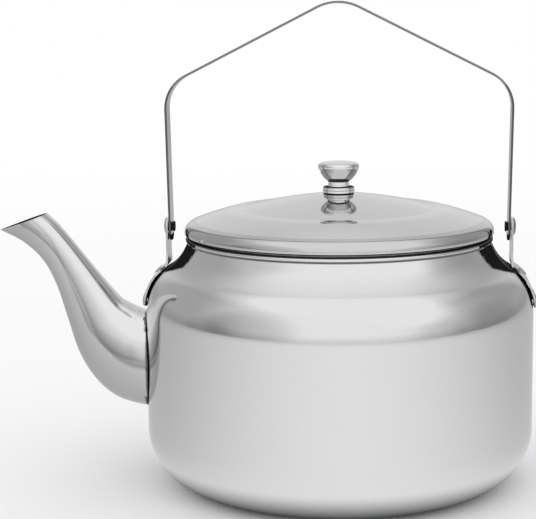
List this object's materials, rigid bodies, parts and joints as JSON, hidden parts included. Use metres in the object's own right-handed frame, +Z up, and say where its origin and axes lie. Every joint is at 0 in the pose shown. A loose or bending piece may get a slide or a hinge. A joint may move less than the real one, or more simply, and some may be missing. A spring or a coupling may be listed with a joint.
{
  "type": "coffee kettle",
  "caption": "Camp coffee kettle of pressed steel: round pot with a tapered spout, lift-off lid with a turned knob, and a flat bail that swings on riveted ears.",
  "frame": {"origin": "middle of the flat base's underside, on the pot's axis", "axes": "+Z up along the pot's axis, the spout points along -X, the bail swings about X"},
  "size_m": [0.2653, 0.19, 0.2356],
  "materials": {
    "body_steel": "satin, bare stainless steel",
    "spout_steel": "polished, bare stainless steel",
    "ear_steel": "tumbled, bare stainless steel",
    "rivet_steel": "tumbled, bare stainless steel",
    "bail_steel": "polished strip, bare stainless steel",
    "lid_steel": "mirror polish, bare stainless steel",
    "skirt_steel": "satin, bare stainless steel",
    "knob_steel": "mirror polish, bare stainless steel",
    "washer_steel": "satin, bare stainless steel",
    "screw_steel": "satin, bare stainless steel"
  },
  "bodies": {
    "kettle": {"kettle_body": "body_steel", "spout": "spout_steel", "spout_ear": "ear_steel", "back_ear": "ear_steel", "spout_ear_rivet_1": "rivet_steel", "spout_ear_rivet_2": "rivet_steel", "spout_ear_rivet_3": "rivet_steel", "back_ear_rivet_1": "rivet_steel", "back_ear_rivet_2": "rivet_steel", "back_ear_rivet_3": "rivet_steel", "spout_pivot": "rivet_steel", "back_pivot": "rivet_steel"},
    "bail": {"bail": "bail_steel"},
    "lid": {"lid_cover": "lid_steel", "lid_skirt": "skirt_steel", "knob": "knob_steel", "knob_washer": "washer_steel", "knob_screw": "screw_steel"}
  },
  "joints": [
    {"name": "bail_swing", "type": "hinge", "parent": "kettle", "child": "bail", "pos_m": [0, 0, 0.1263], "axis": [1, 0, 0], "range_deg": [-105, 105]},
    {"name": "lid_lift", "type": "slide", "parent": "kettle", "child": "lid", "axis": [0, 0, 1], "range_m": [0, 0.05]}
  ]
}
